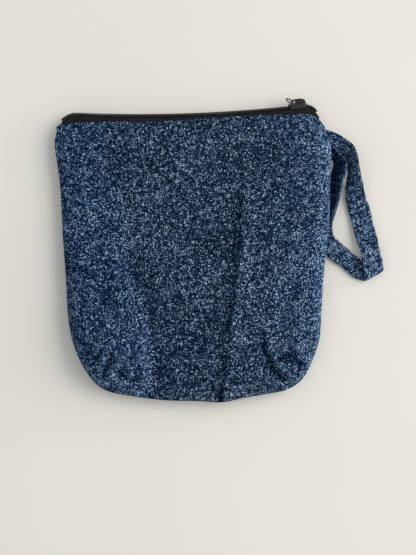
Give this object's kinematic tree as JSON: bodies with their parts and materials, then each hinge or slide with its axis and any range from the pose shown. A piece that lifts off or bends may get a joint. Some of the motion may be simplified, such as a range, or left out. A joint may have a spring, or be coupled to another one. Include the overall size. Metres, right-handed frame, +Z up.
{
  "type": "zip pouch with wrist strap",
  "caption": "Flat zip pouch of speckled blue denim with a coil zip along its top edge, a wire ring pull on the slider and a cloth wrist strap on its side.",
  "frame": {"origin": "on the flat underside of the back panel, under the middle of the pouch", "axes": "+Z up out of the front panel, +Y towards the zip, +X towards the side seam that holds the wrist strap"},
  "size_m": [0.2283, 0.2111, 0.0203],
  "materials": {
    "denim": "speckled heather denim, matt",
    "zip_tape": "woven charcoal tape",
    "zip_coil": "black nylon coil",
    "slider_metal": "dark lacquered die-cast metal"
  },
  "bodies": {
    "pouch": {"front_panel": "denim", "back_panel": "denim", "front_tape": "zip_tape", "back_tape": "zip_tape", "front_coil": "zip_coil", "back_coil": "zip_coil", "wrist_strap": "denim"},
    "slider": {"slider_body": "slider_metal", "slider_cap": "slider_metal"},
    "pull": {"pull_loop": "slider_metal"}
  },
  "joints": [
    {"name": "zip_slide", "type": "hinge", "parent": "pouch", "child": "slider", "pos_m": [-0.02375, 1.0684, 0.0075], "axis": [0, 0, -1], "range_deg": [0, 8.7]},
    {"name": "pull_tip", "type": "hinge", "parent": "slider", "child": "pull", "pos_m": [0.07205, 0.11078, 0.00908], "axis": [0.0696, -0.6784, 0.7314], "range_deg": [-115, 10]}
  ]
}
